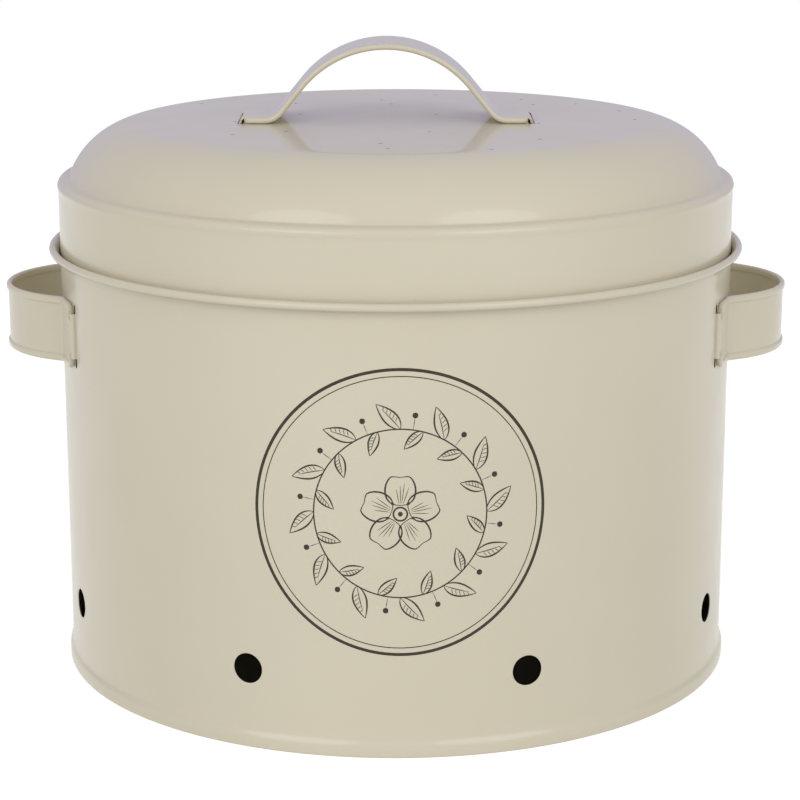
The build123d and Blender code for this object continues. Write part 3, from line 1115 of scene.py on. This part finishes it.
# ---- the printed ornament ----------------------------------------------------------------
@dataclass
class FrontOrnament:
    """A plain double ring round a wreath and a five-petalled flower, printed on the front."""

    wall_radius: float
    turn: float = 0.77              # degrees to the right of the very front
    height: float = 93.4
    radius: float = 53.9
    ring_stroke: float = 1.15
    fine_inset: float = 3.1         # outside of the print to the middle of the fine ring
    fine_stroke: float = 0.36
    proud: float = 0.03
    sink: float = 0.04
    level_step: float = 0.0004      # strokes lie at different heights, so that none coincide
    levels: int = 40
    stem_radius: float = 31.5
    leaf_pairs: int = 12
    leaf_length: float = 12.5
    leaf_width: float = 4.9
    leaf_spread: float = 52.0       # degrees between a leaf and its stem's square
    leaf_bow: float = 0.10
    inner_leaf: float = 0.74        # size of an inner leaf beside an outer one
    berry_place: float = 0.72       # share of the step from one pair of leaves to the next
    berry_reach: float = 5.4        # stem to the berry's middle
    berry_radius: float = 1.05
    petals: int = 5
    petal_length: float = 15.5
    petal_width: float = 11.0
    petal_base: float = 3.3
    petal_notch: float = 1.7
    bud_reach: float = 4.9
    bud_radius: float = 0.55
    heart_ring: float = 2.5
    heart_radius: float = 0.9
    outline: float = 0.62
    hatch: float = 0.26
    draft: MeshDraft = field(default_factory=lambda: MeshDraft("front_print"))
    level: int = 0

    def _solid(self, left: Sequence[Point], right: Sequence[Point], closed: bool) -> None:
        """Wrap a band round the wall as a thin closed skin of ink.

        Args:
            left: One edge of the band, from the ornament's middle.
            right: The other edge, with as many points.
            closed: Whether the band's end joins its start.
        """
        face = RoundWall(self.wall_radius)
        middle = math.radians(-90.0 + self.turn) * self.wall_radius
        self.level += 1
        proud = self.proud + self.level_step * (self.level % self.levels)
        (top_left, top_right), (low_left, low_right) = (
            [self.draft.ring([face.lift((middle + x, self.height + y), depth) for x, y in edge])
             for edge in (left, right)] for depth in (-proud, self.sink))
        rows = (top_left, top_right, low_right, low_left)
        for first, second in zip(rows, rows[1:] + rows[:1]):
            self.draft.bridge(first, second, closed=closed)
        if not closed:
            for end in (0, -1):
                self.draft.face([row[end] for row in rows])

    def _stroke(self, points: Sequence[Point], width: float, closed: bool = False,
                taper: float = 0.25) -> None:
        """Draw a line, thinner towards its ends.

        Args:
            points: The line.
            width: Width in the middle.
            closed: Whether the line is a loop of even width.
            taper: Share of the width that is left at the ends.
        """
        count = len(points)
        left, right = [], []
        for number, (x, y) in enumerate(points):
            before = points[number - 1] if number or closed else points[0]
            after = points[(number + 1) % count] if number < count - 1 or closed else points[-1]
            ahead = Vector((after[0] - before[0], after[1] - before[1])).normalized()
            share = math.sin(math.pi * number / (count - 1))
            half = width / 2 * (1.0 if closed else taper + (1 - taper) * share)
            left.append((x - ahead.y * half, y + ahead.x * half))
            right.append((x + ahead.y * half, y - ahead.x * half))
        self._solid(left, right, closed)

    def _ring(self, radius: float, width: float, steps: int = 180) -> None:
        """Draw a round line of even width about the middle."""
        self._stroke([polar(radius, 360.0 * step / steps) for step in range(steps)], width,
                     closed=True)

    def _dot(self, centre: Point, radius: float) -> None:
        """Draw a filled dot, as a band that closes over its middle."""
        turns = [20.0 * step for step in range(1, 9)]
        self._solid([polar(radius, turn, centre) for turn in turns],
                    [polar(radius, -turn, centre) for turn in turns], closed=False)

    def _leaf(self, root: Point, heading: float, size: float) -> None:
        """Draw an outlined leaf with a midrib and hatching on its shaded half.

        Args:
            root: Where the leaf leaves its stem.
            heading: Direction in which it points, in degrees.
            size: Share of a full leaf.
        """
        length, width = self.leaf_length * size, self.leaf_width * size

        def at(share: float, aside: float) -> Point:
            """Give the place at a share of the leaf's length and to its left."""
            bow = self.leaf_bow * length * share ** 2
            return offset(root, heading, length * share, aside + bow)

        def swell(share: float) -> float:
            """Give half of the leaf's width at a share of its length."""
            return width / 2 * math.sin(math.pi * share ** 0.8) ** 0.9

        shares = [step / 14 for step in range(15)]
        for side in (-1.0, 1.0):
            self._stroke([at(share, side * swell(share)) for share in shares],
                         self.outline, taper=0.35)
        self._stroke([at(share, 0.0) for share in shares[:12]], self.hatch * 1.3)
        for share in (0.24, 0.36, 0.48, 0.60, 0.72):
            deep = swell(share + 0.08) * 0.86
            self._stroke([at(share + 0.10 * part, -deep * part)
                          for part in (0.12, 0.45, 0.75, 1.0)], self.hatch)

    def _petal(self, heading: float) -> None:
        """Draw one petal of the flower, notched at its end, with a few veins."""
        base, long, wide = self.petal_base, self.petal_length - self.petal_base, self.petal_width
        for side in (-1.0, 1.0):
            points = []
            for step in range(19):
                share = step / 18
                turn = math.pi * share
                along = base + long * (0.5 - 0.5 * math.cos(turn * 0.93))
                aside = wide / 2 * math.sin(turn) ** 0.75 if 0 < step < 18 else 0.0
                dip = self.petal_notch * max(0.0, share - 0.82) / 0.18
                points.append(offset((0.0, 0.0), heading, along - dip, side * aside))
            self._stroke(points, self.outline, taper=0.4)
        for aside, reach in ((-0.42, 0.50), (-0.2, 0.62), (0.0, 0.55), (0.2, 0.44)):
            self._stroke([offset((0.0, 0.0), heading, base + 0.6 + long * reach * part,
                                 wide * 0.5 * aside * (0.45 + 0.9 * part))
                          for part in (0.0, 0.33, 0.66, 1.0)], self.hatch)

    def build(self, finishes: Finishes) -> None:
        """Print the rings, the wreath and the flower."""
        self._ring(self.radius - self.ring_stroke / 2, self.ring_stroke, steps=300)
        self._ring(self.radius - self.fine_inset, self.fine_stroke, steps=300)
        self._ring(self.stem_radius, self.outline * 0.8)
        step = 360.0 / self.leaf_pairs
        berry_reach = self.stem_radius + self.berry_reach
        for number in range(self.leaf_pairs):
            turn = 90.0 + step * number
            for side, shift, size in ((1.0, 0.0, 1.0), (-1.0, 0.5, self.inner_leaf)):
                place = turn + step * shift
                self._leaf(polar(self.stem_radius, place), place + 90.0 - side * self.leaf_spread,
                           size)
            berry = turn + step * self.berry_place
            self._stroke([polar(radius, berry) for radius in
                          (self.stem_radius, berry_reach - 2.5, berry_reach - 1.0)], self.hatch)
            self._dot(polar(berry_reach, berry), self.berry_radius)
        for number in range(self.petals):
            self._petal(90.0 + 360.0 * number / self.petals)
            between = 90.0 + 360.0 * (number + 0.5) / self.petals
            self._dot(polar(self.bud_reach, between), self.bud_radius)
        self._ring(self.heart_ring, self.outline, steps=40)
        self._dot((0.0, 0.0), self.heart_radius)
        piece = self.draft.make((finishes.ink,), sharp=30.0)
        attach(piece, "bin")
        LOG.info("front print: %.1f mm across", 2 * self.radius)


# ---- stage, light and camera -------------------------------------------------------------
@dataclass(frozen=True)
class SoftLamp:
    """A large soft lamp that points at the middle of the bin."""

    name: str
    place: tuple[float, float, float]       # metres
    size: float = 1.5
    power: float = 12.8

    def build(self, aim: Vector) -> None:
        """Hang the lamp and point it."""
        lamp = bpy.data.lights.new(self.name, "AREA")
        lamp.shape = "DISK"
        lamp.size = self.size
        lamp.energy = self.power
        holder = bpy.data.objects.new(self.name, lamp)
        holder.location = self.place
        holder.rotation_euler = (aim - Vector(self.place)).to_track_quat("-Z", "Y").to_euler()
        bpy.context.scene.collection.objects.link(holder)


@dataclass
class Studio:
    """A pale floor in a white room, with soft light from the front."""

    floor_size: float = 3.2                 # metres
    floor_tone: Colour = (0.80, 0.80, 0.80, 1.0)
    floor_lift: float = 0.56                # brightness that the floor shows the camera by itself
    ambient: float = 0.55
    white: Colour = (1.0, 1.0, 1.0, 1.0)
    reflected_tone: Colour = (0.555, 0.535, 0.74, 1.0)
    sensor: float = 36.0                    # millimetres
    lens: float = 107.55
    camera_place: tuple[float, float, float] = (0.0019, -0.9582, 0.3392)
    camera_down: float = 13.89              # degrees
    camera_roll: float = 0.05
    lamps: tuple[SoftLamp, ...] = (
        SoftLamp("front_left_lamp", (-1.15, -1.75, 1.15)),
        SoftLamp("front_right_lamp", (1.15, -1.75, 1.15)),
    )
    lamp_aim: tuple[float, float, float] = (0.0, 0.0, 0.11)

    def build_floor(self) -> None:
        """Lay the floor, which keeps the bin's shadow and is white to the camera."""
        half = self.floor_size / 2
        mesh = bpy.data.meshes.new("floor")
        mesh.from_pydata([(-half, -half, 0.0), (half, -half, 0.0), (half, half, 0.0),
                          (-half, half, 0.0)], [], [(0, 1, 2, 3)])
        floor = bpy.data.objects.new("floor", mesh)
        bpy.context.scene.collection.objects.link(floor)
        nodes = NodeSheet("pale_floor")
        nodes.tree.nodes.remove(nodes.shader)
        rays = nodes.add("ShaderNodeLightPath")
        seen = rays.outputs["Is Camera Ray"]
        for name in ("Is Glossy Ray", "Is Transmission Ray"):
            seen = nodes.reckon("MAXIMUM", seen, rays.outputs[name])
        glow = nodes.add("ShaderNodeEmission")
        nodes.join(nodes.reckon("MULTIPLY", seen, self.floor_lift), glow.inputs["Strength"])
        paint = nodes.add("ShaderNodeBsdfDiffuse", Color=self.floor_tone)
        both = nodes.add("ShaderNodeAddShader")
        nodes.join(paint.outputs[0], both.inputs[0])
        nodes.join(glow.outputs[0], both.inputs[1])
        nodes.join(both.outputs[0], nodes.tree.nodes["Material Output"].inputs["Surface"])
        mesh.materials.append(nodes.material)
        LOG.info("floor: pale, %.1f m wide", self.floor_size)

    def build_world(self) -> None:
        """Fill the room with light: white to the camera, faintly lilac in reflections."""
        world = bpy.data.worlds.new("room")
        world.use_nodes = True
        tree = world.node_tree
        tree.nodes.clear()
        rays = tree.nodes.new("ShaderNodeLightPath")
        output = tree.nodes.new("ShaderNodeOutputWorld")

        def room(tone: Colour, strength: float = 1.0) -> Socket:
            """Add a room of one tone."""
            node = tree.nodes.new("ShaderNodeBackground")
            node.inputs["Color"].default_value = tone
            node.inputs["Strength"].default_value = strength
            return node.outputs[0]

        shader, mirrored = room(self.white, self.ambient), room(self.reflected_tone)
        for name, shown in (("Is Glossy Ray", mirrored), ("Is Transmission Ray", mirrored),
                            ("Is Camera Ray", room(self.white))):
            mix = tree.nodes.new("ShaderNodeMixShader")
            for socket, source in zip(mix.inputs, (rays.outputs[name], shader, shown)):
                tree.links.new(source, socket)
            shader = mix.outputs[0]
        tree.links.new(shader, output.inputs["Surface"])
        bpy.context.scene.world = world
        LOG.info("room: ambient light of %.2f", self.ambient)

    def build_camera(self) -> None:
        """Set up the camera at the photograph's viewing angle."""
        data = bpy.data.cameras.new("camera")
        data.lens = self.lens
        data.sensor_width = self.sensor
        data.clip_start, data.clip_end = 0.01, 50.0
        camera = bpy.data.objects.new("camera", data)
        camera.location = self.camera_place
        camera.rotation_euler = (math.radians(90.0 - self.camera_down),
                                 math.radians(self.camera_roll), 0.0)
        bpy.context.scene.collection.objects.link(camera)
        bpy.context.scene.camera = camera
        LOG.info("camera: %.1f mm lens, %.2f degrees down", self.lens, self.camera_down)

    def build(self) -> None:
        """Build the whole stage."""
        self.build_floor()
        self.build_world()
        for lamp in self.lamps:
            lamp.build(Vector(self.lamp_aim))
        self.build_camera()
        bpy.context.scene.view_settings.view_transform = "Standard"


def main() -> None:
    """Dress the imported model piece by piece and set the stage."""
    logging.basicConfig(level=logging.INFO, format="%(name)s: %(message)s")
    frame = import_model()
    body = BinBody()
    side_strap = StrapHandle(width=26.0, arch_radius=41.8, reach=23.2, leg=4.0, foot=13.0,
                             surface=body.radius)
    lid_strap = StrapHandle(width=38.0, arch_radius=44.2, reach=31.2, leg=12.8, foot=7.9,
                            hem_drop=0.7, turn_radius=7.9)
    lid = Lid(body, lid_strap)
    handle_height = body.height - body.handle_drop
    coat = PowderCoat()
    finishes = Finishes(
        coat=coat.material("cream_coat"),
        lid_coat=coat.material("cream_coat_lid", speck_height=lid.grit_height * MM),
        cut=CUT_EDGE.material("cut_edge"),
        ink=SCREEN_INK.material("printed_ink"),
        wire=DRAWN_WIRE.material("bare_wire"),
    )
    body.build_wall(finishes, side_strap, handle_height)
    body.build_side_seam(finishes)
    body.build_base(finishes)
    body.dress_wire(frame["nodes"], finishes)
    for side in Side:
        SideHandle(side, side_strap, body.radius, handle_height).build(finishes)
    top = lid.build_shell(finishes)
    lid.build_handle(finishes, top)
    FrontOrnament(body.radius).build(finishes)
    Studio().build()


if __name__ == "__main__":
    main()
